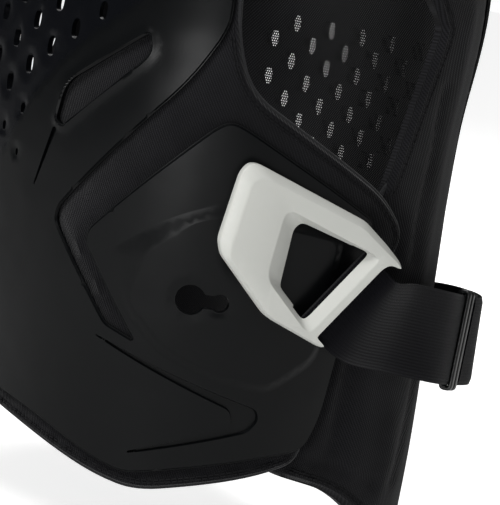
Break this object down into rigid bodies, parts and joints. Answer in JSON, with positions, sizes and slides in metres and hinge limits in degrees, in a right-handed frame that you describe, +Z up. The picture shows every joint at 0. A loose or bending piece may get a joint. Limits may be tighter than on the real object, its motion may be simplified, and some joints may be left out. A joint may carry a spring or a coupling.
{
  "type": "roost deflector",
  "caption": "Moulded chest and back protector with perforated front plate, flank plates, fabric liners, shoulder straps and side straps on hook buckles.",
  "frame": {"origin": "midway between the undersides of the two shoulder pads, at the height of the shoulders", "axes": "+Z up along the body, +X to the wearer's left, -Y to the front of the chest"},
  "size_m": [0.3788, 0.259, 0.4415],
  "materials": {
    "shell_plastic": "semi-matte moulded black",
    "liner_fabric": "black knitted fabric over foam",
    "back_mesh": "black open spacer mesh",
    "hook_plastic": "satin off-white",
    "strap_webbing": "black ribbed elastic webbing",
    "slider_plastic": "glossy dark grey",
    "snap_cap": "black cap"
  },
  "bodies": {
    "root": {"front_shell": "shell_plastic", "back_shell": "shell_plastic", "front_liner": "liner_fabric", "back_liner": "liner_fabric", "back_mesh": "back_mesh", "hook_left": "hook_plastic", "hook_right": "hook_plastic", "side_strap_left": "strap_webbing", "side_strap_right": "strap_webbing", "strap_slider_left": "slider_plastic", "strap_slider_right": "slider_plastic", "shoulder_strap_left": "strap_webbing", "shoulder_strap_right": "strap_webbing", "shoulder_pad_left": "liner_fabric", "shoulder_pad_right": "liner_fabric", "snap_front_left": "snap_cap", "snap_front_right": "snap_cap", "snap_back_left": "snap_cap", "snap_back_right": "snap_cap", "snap_side_left": "snap_cap", "snap_side_right": "snap_cap"}
  },
  "joints": []
}
